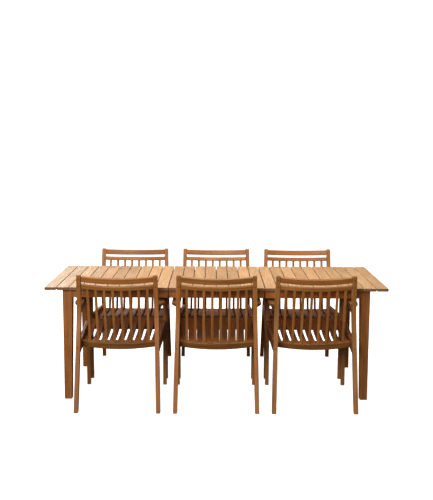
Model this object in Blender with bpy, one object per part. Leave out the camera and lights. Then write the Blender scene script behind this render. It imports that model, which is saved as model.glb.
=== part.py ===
"""Patio dining set: an extending slatted table and six slatted armchairs, in oiled hardwood.

Metres, +Z up. The origin is on the floor under the middle of the table, which is long in X.
Three chairs stand along each long side and face it, pushed in so that their arms pass under
the apron. The table is drawn out with its leaf in place.
"""

import math

import bmesh
import bpy
from mathutils import Matrix

# ---------------------------------------------------------------- chair, driving dimensions
CHAIR_WIDTH = 0.567  # across the arms, the widest place
CHAIR_DEPTH = 0.620  # from the front legs' front faces to the rear feet
CHAIR_HEIGHT = 0.853  # top of the rear legs
SEAT_HEIGHT = 0.457  # top of the slats at the front edge
SEAT_DROP = 0.049  # how much lower the slats lie at the back
SEAT_CURVE = 3  # power of the slats' profile: nearly flat at the back, rising at the front

REAR_LEG_WIDTH = 0.027
REAR_LEG_FOOT_DEPTH = 0.034
REAR_LEG_KNEE_DEPTH = 0.041
REAR_LEG_TOP_DEPTH = 0.028
REAR_LEG_SPLAY = 0.0226  # how far a rear leg leans inwards, for each metre of height
KNEE_HEIGHT = 0.620
KNEE_FORWARD = 0.107  # from the foot's centre to the knee's
KNEE_ROUNDING = 0.080  # half the height over which the knee bends
KNEE_SEGMENTS = 4
REAR_LEG_INSET = 0.0073  # each rear foot's centre stands this much inside the front leg's

FRONT_LEG_SIZE = 0.025
FRONT_LEG_INSET = 0.009  # from the arm's outer edge to the leg

ARM_WIDTH = 0.054
ARM_THICKNESS = 0.022
ARM_FLARE_LENGTH = 0.090  # over which the arm widens, forward of the rear leg
ARM_OVERHANG = 0.014  # past the front leg
ARM_RIB_WIDTH = 0.020
ARM_RIB_DEPTH = 0.034
ARM_NOSE_SEGMENTS = 6
ARM_END_STEPS = 6  # heights at which the arm's rear end is kept clear of the rear leg

BACK_TILT = math.radians(15)
BACK_FORWARD = 0.205  # from the rear foot to the back's lower rail, at its ends
BACK_RAIL_DROP = 0.003  # the back's lower rail lies this much below the slats' middle
BACK_SAGITTA = 0.034  # how far the upper rails bulge backwards
SEAT_RAIL_SAGITTA = 0.040
TOP_RAIL_HEIGHT = 0.036
SECOND_RAIL_HEIGHT = 0.026
SEAT_RAIL_HEIGHT = 0.042
RAIL_GAP = 0.018  # between the top rail and the second rail
RAIL_THICKNESS = 0.020
POST_PROUD = 0.006  # the rear legs stand this far above the top rail
RAIL_SEGMENTS = 12
SPINDLES = 8
SPINDLE_WIDTH = 0.016
SPINDLE_THICKNESS = 0.013
SPINDLE_END_GAP = 0.0308  # between the outer spindles' heads and the rear legs

SLAT_THICKNESS = 0.014
SLAT_GAP = 0.016
SLAT_SEGMENTS = 6
SLAT_OVERHANG = 0.004  # past the front legs' front faces
SLAT_SIDE_GAP = 0.006  # between the outer slats and the side rails, at the back
SIDE_RAIL_THICKNESS = 0.022
SIDE_RAIL_HEIGHT = 0.072
SIDE_RAIL_RISE = 0.027
FRONT_RAIL_HEIGHT = 0.053
FRONT_RAIL_SET_IN = 0.002  # from the front legs' faces, before and behind
BEARER_THICKNESS = 0.022
BEARER_HEIGHT = 0.031
BEARER_FORWARD = 0.075  # from the back's lower rail
JOIN_OVERLAP = 0.0025  # a slat is let into its rails by this much

# ---------------------------------------------------------------- table, driving dimensions
TABLE_HEIGHT = 0.747
TABLE_WIDTH = 0.865
LEAF_LENGTH = 0.612
HALF_BOARDS = 10
LEAF_BOARDS = 8
BOARD_GAP = 0.0055
BOARD_THICKNESS = 0.020
JOINT_GAP = 0.007  # between the leaf and each half-top
END_OVERHANG = 0.110
SIDE_OVERHANG = 0.034
TABLE_LEG_TOP = 0.062
TABLE_LEG_FOOT = 0.047
APRON_HEIGHT = 0.0532
APRON_THICKNESS = 0.022
APRON_SETBACK = 0.003  # behind the legs' outer faces
BATTEN_WIDTH = 0.024
BATTEN_HEIGHT = 0.030
BATTEN_END = 0.050  # a slide's batten stops this far inside the table leg
THROUGH_BATTENS = 3
THROUGH_BATTEN_WIDTH = 0.045
THROUGH_BATTEN_HEIGHT = 0.018
THROUGH_BATTEN_GAP = 0.0715  # between the outer through battens and the slides' battens
THROUGH_BATTEN_END = 0.030  # from the table's end
NOTCH_CLEARANCE = 0.001
NOTCH_CUTTER_REACH = 0.010  # the notches' cutters run this far past the apron's faces
LEAF_BATTEN_INSET = 0.004
LEAF_BATTEN_HEIGHT = 0.025  # less than the others, so that it clears the cross bar
SLIDE_TO_APRON = 0.025  # between the outer battens and the side aprons
SLIDE_WIDTH = 0.060
SLIDE_REACH = 0.310  # how far a slide rail runs under each half-top
SLIDE_CLEARANCE = 0.002
CROSS_BAR_WIDTH = 0.070
CROSS_BAR_THICKNESS = 0.012
KEEPER_LENGTH = 0.040
KEEPER_THICKNESS = 0.009
KEEPER_INSET = 0.060  # from the half-top's inner end to the first keeper
KEEPER_SHORT = 0.002  # a keeper stops this far inside the battens' outer faces

# ---------------------------------------------------------------- how the set stands
CHAIRS_PER_SIDE = 3
CHAIR_SPACE = 0.047  # between the arms of neighbouring chairs
CHAIR_TO_LEG = 0.0275  # between the outer chairs' arms and the table legs
FRONT_LEG_FROM_MIDDLE = 0.061  # from the table's centre line to the chairs' front legs
ARM_UNDER_APRON = 0.010
FIT = 0.0003  # between pieces that touch
CURVED_FIT = 0.0008  # between pieces that meet along a curve

# ---------------------------------------------------------------- sizes that follow
BOARD_UNDERSIDE = TABLE_HEIGHT - BOARD_THICKNESS
FRAME_TOP = BOARD_UNDERSIDE - FIT
APRON_BOTTOM = FRAME_TOP - APRON_HEIGHT
CHAIR_SPACING = CHAIR_WIDTH + CHAIR_SPACE
LEG_INNER_X = (CHAIRS_PER_SIDE - 1) / 2 * CHAIR_SPACING + CHAIR_WIDTH / 2 + CHAIR_TO_LEG
LEG_OUTER_X = LEG_INNER_X + TABLE_LEG_TOP
LEG_OUTER_Y = TABLE_WIDTH / 2 - SIDE_OVERHANG
TABLE_LENGTH = 2 * (LEG_OUTER_X + END_OVERHANG)
HALF_INNER_X = LEAF_LENGTH / 2 + JOINT_GAP
HALF_LENGTH = TABLE_LENGTH / 2 - HALF_INNER_X
SLIDE_TOP = BOARD_UNDERSIDE - SLIDE_CLEARANCE
APRON_OUTER_Y = LEG_OUTER_Y - APRON_SETBACK
SLIDE_HALF_SPACE = SLIDE_WIDTH / 2 + SLIDE_CLEARANCE + BATTEN_WIDTH
SLIDE_FROM_CENTRE = APRON_OUTER_Y - APRON_THICKNESS - SLIDE_TO_APRON - SLIDE_HALF_SPACE
THROUGH_BATTEN_LAST = (
    SLIDE_FROM_CENTRE - SLIDE_HALF_SPACE - THROUGH_BATTEN_GAP - THROUGH_BATTEN_WIDTH / 2
)
THROUGH_BATTEN_SPACING = 2 * THROUGH_BATTEN_LAST / (THROUGH_BATTENS - 1)

ARM_TOP = APRON_BOTTOM - ARM_UNDER_APRON
ARM_BOTTOM = ARM_TOP - ARM_THICKNESS
CHAIR_Y = FRONT_LEG_FROM_MIDDLE + CHAIR_DEPTH / 2
FRONT_Y = CHAIR_DEPTH / 2
REAR_FOOT_Y = -CHAIR_DEPTH / 2 + REAR_LEG_FOOT_DEPTH / 2
KNEE_Y = REAR_FOOT_Y + KNEE_FORWARD
FRONT_LEG_X = CHAIR_WIDTH / 2 - FRONT_LEG_INSET - FRONT_LEG_SIZE / 2
ARM_OUTER_X = CHAIR_WIDTH / 2
REAR_FOOT_X = FRONT_LEG_X - REAR_LEG_INSET

BACK_Y = -CHAIR_DEPTH / 2 + BACK_FORWARD
BACK_Z = SEAT_HEIGHT - SEAT_DROP - SLAT_THICKNESS / 2 - BACK_RAIL_DROP
RISE = math.cos(BACK_TILT)
LEAN = math.sin(BACK_TILT)
TOP_RAIL_V = (CHAIR_HEIGHT - POST_PROUD - BACK_Z) / RISE - TOP_RAIL_HEIGHT / 2
SECOND_RAIL_V = TOP_RAIL_V - (TOP_RAIL_HEIGHT + SECOND_RAIL_HEIGHT) / 2 - RAIL_GAP
POST_UPPER_Y = BACK_Y - LEAN * TOP_RAIL_V
POST_UPPER_Z = BACK_Z + RISE * TOP_RAIL_V
SLAT_FRONT_Y = FRONT_Y + SLAT_OVERHANG


# ---------------------------------------------------------------- scene, materials, tools
def clear_scene():
    for thing in list(bpy.data.objects):
        bpy.data.objects.remove(thing, do_unlink=True)


def wood(name, colour, roughness):
    material = bpy.data.materials.new(name)
    material.use_nodes = True
    shader = material.node_tree.nodes["Principled BSDF"]
    shader.inputs["Base Color"].default_value = (*colour, 1.0)
    shader.inputs["Roughness"].default_value = roughness
    shader.inputs["Metallic"].default_value = 0.0
    return material


def collection(name):
    made = bpy.data.collections.new(name)
    bpy.context.scene.collection.children.link(made)
    return made


def empty(name, place, turn):
    made = bpy.data.objects.new(name, None)
    made.location = place
    made.rotation_euler = (0, 0, turn)
    SET.objects.link(made)
    return made


def show(name, mesh, material, parent=None):
    """A node of the set: an object of its own, with the mesh that its twins share."""
    made = bpy.data.objects.new(name, mesh)
    if not mesh.materials:
        mesh.materials.append(material)
    made.parent = parent
    SET.objects.link(made)
    return made


def helper(name, bm):
    """A loose piece that a union reads, and that isn't a node."""
    mesh = bpy.data.meshes.new(name)
    bm.normal_update()
    bmesh.ops.recalc_face_normals(bm, faces=bm.faces)
    bm.to_mesh(mesh)
    bm.free()
    made = bpy.data.objects.new(name, mesh)
    made.hide_render = True
    made.display_type = "WIRE"
    HELPERS.objects.link(made)
    return made


def box(low, high):
    bm = bmesh.new()
    bmesh.ops.create_cube(bm, size=1.0)
    for vertex in bm.verts:
        vertex.co = [a + (b - a) * (c + 0.5) for a, b, c in zip(low, high, vertex.co)]
    return bm


def cut_across(bm, axis, places):
    """Edge loops across a bar, at each place along an axis."""
    normal = [0.0, 0.0, 0.0]
    normal[axis] = 1.0
    for place in places:
        point = [0.0, 0.0, 0.0]
        point[axis] = place
        everything = bm.verts[:] + bm.edges[:] + bm.faces[:]
        bmesh.ops.bisect_plane(bm, geom=everything, plane_co=point, plane_no=normal)
    return bm


def steps(count):
    """The places of the loops that cut -1..1 into equal lengths."""
    return [2 * i / count - 1 for i in range(1, count)]


def mesh_of(thing):
    """The evaluated mesh of an object, in its own space, with close points made one."""
    bpy.context.view_layer.update()
    graph = bpy.context.evaluated_depsgraph_get()
    mesh = bpy.data.meshes.new_from_object(thing.evaluated_get(graph))
    bm = bmesh.new()
    bm.from_mesh(mesh)
    bmesh.ops.remove_doubles(bm, verts=bm.verts, dist=1e-6)
    bm.to_mesh(mesh)
    bm.free()
    return mesh


def combined(name, pieces, operation):
    """One mesh from helpers that overlap: the first, joined to the others or cut by them."""
    whole = pieces[0]
    for piece in pieces[1:]:
        step = whole.modifiers.new(operation.lower(), "BOOLEAN")
        step.operation = operation
        step.solver = "EXACT"
        step.object = piece
    mesh = mesh_of(whole)
    mesh.name = name
    for piece in pieces:
        bpy.data.objects.remove(piece, do_unlink=True)
    return mesh


def joined(name, pieces):
    return combined(name, pieces, "UNION")


def single(name, bm):
    piece = helper(name, bm)
    mesh = mesh_of(piece)
    mesh.name = name
    bpy.data.objects.remove(piece, do_unlink=True)
    return mesh


def flat_outline(name, points, thickness, to_world):
    """A closed outline, filled and extruded, as a bmesh. to_world turns its plane into place."""
    curve = bpy.data.curves.new(name, "CURVE")
    curve.dimensions = "2D"
    curve.fill_mode = "BOTH"
    curve.extrude = thickness / 2
    spline = curve.splines.new("POLY")
    spline.points.add(len(points) - 1)
    for point, place in zip(spline.points, points):
        point.co = (*place, 0.0, 1.0)
    spline.use_cyclic_u = True
    drawn = bpy.data.objects.new(name, curve)
    HELPERS.objects.link(drawn)
    mesh = mesh_of(drawn)
    bpy.data.objects.remove(drawn, do_unlink=True)
    bm = bmesh.new()
    bm.from_mesh(mesh)
    bpy.data.meshes.remove(mesh)
    bm.transform(to_world)
    return bm


# ---------------------------------------------------------------- chair, shapes that pieces share
def leg_centre_y(z):
    """The rear leg's centre line: two straight runs with a rounded knee between them."""
    lower = (KNEE_Y - REAR_FOOT_Y) / KNEE_HEIGHT
    upper = (POST_UPPER_Y - KNEE_Y) / (POST_UPPER_Z - KNEE_HEIGHT)
    away = z - KNEE_HEIGHT
    if away < -KNEE_ROUNDING:
        return KNEE_Y + lower * away
    if away > KNEE_ROUNDING:
        return KNEE_Y + upper * away
    bend = (upper - lower) * (away + KNEE_ROUNDING) ** 2 / (4 * KNEE_ROUNDING)
    return KNEE_Y + lower * away + bend


def leg_depth(z):
    if z < KNEE_HEIGHT:
        share = z / KNEE_HEIGHT
        return REAR_LEG_FOOT_DEPTH + share * (REAR_LEG_KNEE_DEPTH - REAR_LEG_FOOT_DEPTH)
    share = (z - KNEE_HEIGHT) / (CHAIR_HEIGHT - KNEE_HEIGHT)
    return REAR_LEG_KNEE_DEPTH + share * (REAR_LEG_TOP_DEPTH - REAR_LEG_KNEE_DEPTH)


def leg_front_y(z):
    return leg_centre_y(z) + leg_depth(z) / 2


def leg_x(z):
    return REAR_FOOT_X - REAR_LEG_SPLAY * z


def leg_inner_x(z):
    return leg_x(z) - REAR_LEG_WIDTH / 2


def side_rail_x(y):
    """The side rail's centre line, from the rear leg to the front leg."""
    z = SEAT_HEIGHT - SEAT_DROP
    start = leg_front_y(z)
    share = (y - start) / (FRONT_Y - FRONT_LEG_SIZE - start)
    return leg_x(z) + share * (FRONT_LEG_X - leg_x(z))


def side_rail_inner_x(y):
    return side_rail_x(y) - SIDE_RAIL_THICKNESS / 2


def on_back(v, w):
    """(y, z) of a point v up the back's slope and w behind it."""
    return BACK_Y - LEAN * v - RISE * w, BACK_Z + RISE * v - LEAN * w


def bulge(sagitta, share):
    return sagitta * (1 - share * share)


def seat_rail_front_y(x, z):
    """The front face of the back's lower rail, where the slats end."""
    w = bulge(SEAT_RAIL_SAGITTA, x / side_rail_inner_x(BACK_Y)) - RAIL_THICKNESS / 2
    v = (z - BACK_Z + LEAN * w) / RISE
    return on_back(v, w)[0]


def slat_pitch(y):
    """Slats fan out with the side rails, and leave the same gap beside the outer ones."""
    whole = side_rail_inner_x(y) - SLAT_SIDE_GAP + SLAT_GAP / 2
    return whole / ((SPINDLES + 1) / 2)


def slat_top_z(y):
    rear = BACK_Y
    share = max(0.0, (y - rear) / (SLAT_FRONT_Y - rear))
    return SEAT_HEIGHT - SEAT_DROP * (1 - share**SEAT_CURVE)


# ---------------------------------------------------------------- chair, pieces
def rear_leg(side):
    """A boomerang outline, leaning inwards towards its top."""
    low = KNEE_HEIGHT - KNEE_ROUNDING
    high = KNEE_HEIGHT + KNEE_ROUNDING
    heights = [0.0, low / 2, low]
    heights += [low + (high - low) * i / KNEE_SEGMENTS for i in range(1, KNEE_SEGMENTS)]
    heights += [high, CHAIR_HEIGHT]
    front = [(leg_front_y(z), z) for z in heights]
    back = [(leg_centre_y(z) - leg_depth(z) / 2, z) for z in heights]
    upright = Matrix(((0, 0, 1, 0), (1, 0, 0, 0), (0, 1, 0, 0), (0, 0, 0, 1)))
    bm = flat_outline("rear_leg", front + back[::-1], REAR_LEG_WIDTH, upright)
    for vertex in bm.verts:
        vertex.co.x = side * (leg_x(vertex.co.z) + vertex.co.x)
    return single(f"rear_leg_{NAMES[side]}", bm)


def arm_outline(side):
    """The arm from above: narrow at the rear leg, flaring outwards, with a rounded nose."""
    step = (ARM_THICKNESS + ARM_RIB_DEPTH) / ARM_END_STEPS
    rear = max(leg_front_y(ARM_TOP - step * i) for i in range(ARM_END_STEPS + 1)) + CURVED_FIT
    front = FRONT_Y + ARM_OVERHANG
    inner = ARM_OUTER_X - ARM_WIDTH
    start = leg_x(ARM_TOP)
    radius = ARM_WIDTH / 2
    points = [(start - REAR_LEG_WIDTH / 2, rear), (start + REAR_LEG_WIDTH / 2, rear)]
    points += [(ARM_OUTER_X, rear + ARM_FLARE_LENGTH)]
    for i in range(ARM_NOSE_SEGMENTS + 1):
        angle = math.pi * i / ARM_NOSE_SEGMENTS
        along = front - radius + radius * math.sin(angle)
        points.append((inner + radius + radius * math.cos(angle), along))
    points.append((inner, rear + ARM_FLARE_LENGTH))
    return rear, [(side * x, y) for x, y in points]


def front_leg_and_arm(side):
    """The front leg with the arm on top of it, and the rib under the arm."""
    rear, outline = arm_outline(side)
    raised = Matrix.Translation((0, 0, ARM_TOP - ARM_THICKNESS / 2))
    arm = helper("arm", flat_outline("arm", outline, ARM_THICKNESS, raised))
    half = FRONT_LEG_SIZE / 2
    leg_low = (side * FRONT_LEG_X - half, FRONT_Y - FRONT_LEG_SIZE, 0.0)
    leg_high = (side * FRONT_LEG_X + half, FRONT_Y, ARM_BOTTOM + ARM_THICKNESS / 2)
    leg = helper("leg", box(leg_low, leg_high))
    half = ARM_RIB_WIDTH / 2
    rib_end = FRONT_Y - FRONT_LEG_SIZE / 2
    rib_low = (-half, rear, ARM_BOTTOM - ARM_RIB_DEPTH)
    rib = box(rib_low, (half, rib_end, ARM_TOP - ARM_THICKNESS / 2))
    for vertex in rib.verts:
        share = (vertex.co.y - rear) / (rib_end - rear)
        vertex.co.x += side * (leg_x(ARM_TOP) + share * (FRONT_LEG_X - leg_x(ARM_TOP)))
    return joined(f"front_leg_and_arm_{NAMES[side]}", [arm, leg, helper("rib", rib)])


def back_rail(v_middle, height, sagitta, end_x):
    """A rail bent backwards in its middle. end_x gives half its length at a point's y and z."""
    low = (-1.0, -RAIL_THICKNESS / 2, v_middle - height / 2)
    high = (1.0, RAIL_THICKNESS / 2, v_middle + height / 2)
    bm = cut_across(box(low, high), 0, steps(RAIL_SEGMENTS))
    for vertex in bm.verts:
        share = vertex.co.x
        y, z = on_back(vertex.co.z, vertex.co.y + bulge(sagitta, share))
        vertex.co = (share * (end_x(y, z) - FIT), y, z)
    return bm


def top_rail():
    bm = back_rail(TOP_RAIL_V, TOP_RAIL_HEIGHT, BACK_SAGITTA, lambda y, z: leg_inner_x(z))
    return single("top_rail", bm)


def spindle(place):
    """A straight spindle from the seat rail to the second rail."""
    half = SPINDLE_WIDTH / 2
    thick = SPINDLE_THICKNESS / 2
    bm = box((-half, -thick, 0.0), (half, thick, SECOND_RAIL_V))
    head_inner = leg_inner_x(BACK_Z + RISE * SECOND_RAIL_V)
    head_pitch = (head_inner - SPINDLE_END_GAP - half) / ((SPINDLES - 1) / 2)
    foot_x = place * slat_pitch(BACK_Y)
    head_x = place * head_pitch
    foot_w = bulge(SEAT_RAIL_SAGITTA, foot_x / side_rail_inner_x(BACK_Y))
    head_w = bulge(BACK_SAGITTA, head_x / head_inner)
    for vertex in bm.verts:
        at_head = vertex.co.z > SECOND_RAIL_V / 2
        y, z = on_back(vertex.co.z, vertex.co.y + (head_w if at_head else foot_w))
        vertex.co = ((head_x if at_head else foot_x) + vertex.co.x, y, z)
    return helper("spindle", bm)


def back():
    """The second rail, the spindles under it, and the seat rail that they stand in."""
    second = back_rail(
        SECOND_RAIL_V, SECOND_RAIL_HEIGHT, BACK_SAGITTA, lambda y, z: leg_inner_x(z)
    )
    lower = back_rail(
        0.0, SEAT_RAIL_HEIGHT, SEAT_RAIL_SAGITTA, lambda y, z: side_rail_inner_x(y)
    )
    pieces = [helper("second_rail", second), helper("seat_rail", lower)]
    pieces += [spindle(i - (SPINDLES - 1) / 2) for i in range(SPINDLES)]
    return joined("back", pieces)


def slat(place):
    """A slat that follows the seat's profile, cut to the seat rail's curve at its back end."""
    bm = cut_across(box((-1.0, -1.0, -1.0), (1.0, 1.0, 1.0)), 1, steps(SLAT_SEGMENTS))
    for vertex in bm.verts:
        share = (vertex.co.y + 1) / 2
        edge = vertex.co.x
        top = vertex.co.z > 0
        back_x = place * slat_pitch(BACK_Y) + edge * (slat_pitch(BACK_Y) - SLAT_GAP) / 2
        start = seat_rail_front_y(back_x, SEAT_HEIGHT - SEAT_DROP) + CURVED_FIT
        y = start + share * (SLAT_FRONT_Y - start)
        x = place * slat_pitch(y) + edge * (slat_pitch(y) - SLAT_GAP) / 2
        z = slat_top_z(y) - (0.0 if top else SLAT_THICKNESS)
        if share == 0:
            y = seat_rail_front_y(x, z) + CURVED_FIT
        vertex.co = (x, y, z)
    return helper("slat", bm)


def side_rail(side):
    """From the rear leg to the front leg, rising towards the front."""
    half = SIDE_RAIL_THICKNESS / 2
    bm = box((-half, 0.0, -SIDE_RAIL_HEIGHT), (half, 1.0, 0.0))
    for vertex in bm.verts:
        at_front = vertex.co.y > 0.5
        z = SEAT_HEIGHT + vertex.co.z - (0.0 if at_front else SIDE_RAIL_RISE)
        y = FRONT_Y - FRONT_LEG_SIZE - FIT if at_front else leg_front_y(z) + CURVED_FIT
        vertex.co = (side * side_rail_x(y) + vertex.co.x, y, z)
    return helper("side_rail", bm)


def front_rail():
    front = FRONT_Y - FRONT_RAIL_SET_IN
    rear = FRONT_Y - FRONT_LEG_SIZE + FRONT_RAIL_SET_IN
    top = slat_top_z(front) - SLAT_THICKNESS + JOIN_OVERLAP
    reach = FRONT_LEG_X - FRONT_LEG_SIZE / 2 - FIT
    low = (-reach, rear, top - FRONT_RAIL_HEIGHT)
    return helper("front_rail", box(low, (reach, front, top)))


def bearer():
    """The cross rail under the slats, near the back, let into the side rails."""
    middle = BACK_Y + BEARER_FORWARD
    top = slat_top_z(middle) - SLAT_THICKNESS + JOIN_OVERLAP
    reach = side_rail_inner_x(middle) + SIDE_RAIL_THICKNESS / 2
    half = BEARER_THICKNESS / 2
    low = (-reach, middle - half, top - BEARER_HEIGHT)
    return helper("bearer", box(low, (reach, middle + half, top)))


def seat():
    """The slats with the front rail and the bearer that hold them, and the two side rails."""
    pieces = [bearer(), front_rail(), side_rail(-1), side_rail(1)]
    pieces += [slat(i - SPINDLES / 2) for i in range(SPINDLES + 1)]
    return joined("seat", pieces)


def chairs():
    """Builds a chair's seven meshes once, then stands them in each of the six places."""
    parts = {
        "rear_leg_left": (rear_leg(-1), CHAIR_WOOD),
        "rear_leg_right": (rear_leg(1), CHAIR_WOOD),
        "front_leg_and_arm_left": (front_leg_and_arm(-1), CHAIR_WOOD),
        "front_leg_and_arm_right": (front_leg_and_arm(1), CHAIR_WOOD),
        "top_rail": (top_rail(), RAIL_WOOD),
        "back": (back(), RAIL_WOOD),
        "seat": (seat(), SLAT_WOOD),
    }
    columns = {"left": -1, "middle": 0, "right": 1}
    for row, facing in (("near", 1), ("far", -1)):
        for column, step in columns.items():
            place = (step * CHAIR_SPACING, -facing * CHAIR_Y, 0.0)
            turn = 0.0 if facing > 0 else math.pi
            stand = empty(f"{row}_{column}_chair", place, turn)
            for name, (mesh, material) in parts.items():
                show(f"{row}_{column}_chair_{name}", mesh, material, stand)


# ---------------------------------------------------------------- table
def boards(start, length, count):
    """A run of boards across the table, from start towards +X, with a gap between each two."""
    width = (length - (count - 1) * BOARD_GAP) / count
    made = []
    for i in range(count):
        low_x = start + i * (width + BOARD_GAP)
        low = (low_x, -TABLE_WIDTH / 2, BOARD_UNDERSIDE)
        high = (low_x + width, TABLE_WIDTH / 2, TABLE_HEIGHT)
        made.append(helper("board", box(low, high)))
    return made


def slide_battens(start, end, height):
    """The bars under the boards, one on each side of a slide rail."""
    offset = SLIDE_HALF_SPACE - BATTEN_WIDTH / 2
    places = [s * SLIDE_FROM_CENTRE + t * offset for s in (-1, 1) for t in (-1, 1)]
    made = []
    for y in places:
        low = (start, y - BATTEN_WIDTH / 2, BOARD_UNDERSIDE - height)
        high = (end, y + BATTEN_WIDTH / 2, BOARD_UNDERSIDE + JOIN_OVERLAP)
        made.append(helper("slide_batten", box(low, high)))
    return made


def through_battens(start, end, clearance=0.0):
    """The flat bars that tie all the boards together. The end apron is notched for them."""
    made = []
    for i in range(THROUGH_BATTENS):
        y = (i - (THROUGH_BATTENS - 1) / 2) * THROUGH_BATTEN_SPACING
        reach = THROUGH_BATTEN_WIDTH / 2 + clearance
        low = (start, y - reach, BOARD_UNDERSIDE - THROUGH_BATTEN_HEIGHT - clearance)
        high = (end, y + reach, BOARD_UNDERSIDE + JOIN_OVERLAP)
        made.append(helper("through_batten", box(low, high)))
    return made


def keepers(side):
    """Straps across the battens that hold the slide rails up under a half-top."""
    reach = SLIDE_HALF_SPACE - KEEPER_SHORT
    top = BOARD_UNDERSIDE - BATTEN_HEIGHT + JOIN_OVERLAP
    half = KEEPER_LENGTH / 2
    last = SLIDE_REACH - KEEPER_LENGTH
    made = []
    for along in (KEEPER_INSET, last):
        x = side * (HALF_INNER_X + along)
        for y in (-SLIDE_FROM_CENTRE, SLIDE_FROM_CENTRE):
            low = (x - half, y - reach, top - KEEPER_THICKNESS)
            made.append(helper("keeper", box(low, (x + half, y + reach, top))))
    return made


def half_top(side):
    """The boards on their battens, with the keepers of the slide rails."""
    inner = side * HALF_INNER_X
    outer = side * TABLE_LENGTH / 2
    pieces = slide_battens(*sorted((inner, side * (LEG_INNER_X - BATTEN_END))), BATTEN_HEIGHT)
    pieces += through_battens(*sorted((inner, outer - side * THROUGH_BATTEN_END)))
    pieces += boards(min(inner, outer), HALF_LENGTH, HALF_BOARDS)
    pieces += keepers(side)
    return joined(f"half_top_{NAMES[side]}", pieces)


def leaf():
    """The leaf's boards on battens that stand beside the slide rails."""
    end = LEAF_LENGTH / 2 - LEAF_BATTEN_INSET
    pieces = slide_battens(-end, end, LEAF_BATTEN_HEIGHT) + through_battens(-end, end)
    pieces += boards(-LEAF_LENGTH / 2, LEAF_LENGTH, LEAF_BOARDS)
    return joined("leaf_top", pieces)


def table_leg(side, row):
    """Square at the top. Its two inner faces taper from the apron down to the foot."""
    low = (LEG_INNER_X, LEG_OUTER_Y - TABLE_LEG_TOP, 0.0)
    bm = cut_across(box(low, (LEG_OUTER_X, LEG_OUTER_Y, FRAME_TOP)), 2, [APRON_BOTTOM])
    taper = TABLE_LEG_TOP - TABLE_LEG_FOOT
    for vertex in bm.verts:
        if vertex.co.z < FIT:
            vertex.co.x += taper if vertex.co.x < LEG_OUTER_X - FIT else 0.0
            vertex.co.y += taper if vertex.co.y < LEG_OUTER_Y - FIT else 0.0
        vertex.co.x *= side
        vertex.co.y *= row
    return single(f"table_leg_{ROWS[row]}_{NAMES[side]}", bm)


def table():
    """The two half-tables and the leaf between them."""
    for side in (-1, 1):
        name = NAMES[side]
        show(f"half_top_{name}", half_top(side), TOP_WOOD)
        show(f"end_apron_{name}", end_apron(side), FRAME_WOOD)
        for row in (-1, 1):
            leg_name = f"table_leg_{ROWS[row]}_{name}"
            show(leg_name, table_leg(side, row), FRAME_WOOD)
            xs = sorted((side * HALF_INNER_X, side * (LEG_INNER_X - FIT)))
            apron_name = f"side_apron_{ROWS[row]}_{name}"
            show(apron_name, side_apron(apron_name, row, *xs), FRAME_WOOD)
    show("leaf_top", leaf(), TOP_WOOD)
    for row in (-1, 1):
        name = f"leaf_apron_{ROWS[row]}"
        show(name, side_apron(name, row, -LEAF_LENGTH / 2, LEAF_LENGTH / 2), FRAME_WOOD)


def slides():
    """The two slide rails, one inside each half-top and the leaf, and the bar that ties them."""
    keeper_top = BOARD_UNDERSIDE - BATTEN_HEIGHT + JOIN_OVERLAP
    length = HALF_INNER_X + SLIDE_REACH
    for row in (-1, 1):
        name = f"slide_rail_{ROWS[row]}"
        y = row * SLIDE_FROM_CENTRE
        low = (-length, y - SLIDE_WIDTH / 2, keeper_top + FIT)
        rail = box(low, (length, y + SLIDE_WIDTH / 2, SLIDE_TOP))
        show(name, single(name, rail), FRAME_WOOD)
    reach = SLIDE_FROM_CENTRE + SLIDE_WIDTH / 2
    half = CROSS_BAR_WIDTH / 2
    low = (-half, -reach, keeper_top - CROSS_BAR_THICKNESS)
    bar = box(low, (half, reach, keeper_top))
    show("slide_cross_bar", single("slide_cross_bar", bar), FRAME_WOOD)


def end_apron(side):
    """Between two legs, with a notch in its top edge for each through batten."""
    outer = LEG_OUTER_X - APRON_SETBACK
    reach = LEG_OUTER_Y - TABLE_LEG_TOP - FIT
    low_x, high_x = sorted((side * outer, side * (outer - APRON_THICKNESS)))
    rail = helper("rail", box((low_x, -reach, APRON_BOTTOM), (high_x, reach, FRAME_TOP)))
    ends = (low_x - NOTCH_CUTTER_REACH, high_x + NOTCH_CUTTER_REACH)
    notches = through_battens(*ends, clearance=NOTCH_CLEARANCE)
    return combined(f"end_apron_{NAMES[side]}", [rail] + notches, "DIFFERENCE")


def side_apron(name, row, low_x, high_x):
    ys = sorted((row * APRON_OUTER_Y, row * (APRON_OUTER_Y - APRON_THICKNESS)))
    return single(name, box((low_x, ys[0], APRON_BOTTOM), (high_x, ys[1], FRAME_TOP)))


NAMES = {-1: "left", 1: "right"}
ROWS = {-1: "near", 1: "far"}
clear_scene()
SET = collection("patio_dining_set")
HELPERS = collection("joined_pieces")
TOP_WOOD = wood("oiled_teak_tabletop", (0.62, 0.38, 0.17), 0.55)
FRAME_WOOD = wood("oiled_teak_frame", (0.33, 0.15, 0.045), 0.5)
CHAIR_WOOD = wood("oiled_teak_chair_legs", (0.36, 0.17, 0.05), 0.5)
RAIL_WOOD = wood("oiled_teak_chair_back", (0.38, 0.18, 0.055), 0.5)
SLAT_WOOD = wood("oiled_teak_chair_seat", (0.34, 0.15, 0.045), 0.5)
table()
slides()
chairs()
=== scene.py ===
"""Patio dining set in oiled teak: every board, batten, rail, spindle and slat as its own timber.

Metres, +Z up. The chair's pieces are shaped once, facing +Y with the origin on the floor under
the chair, and then copied to the six chairs.
"""

import math
import random

import bpy
from mathutils import Euler, Matrix, Vector


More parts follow.
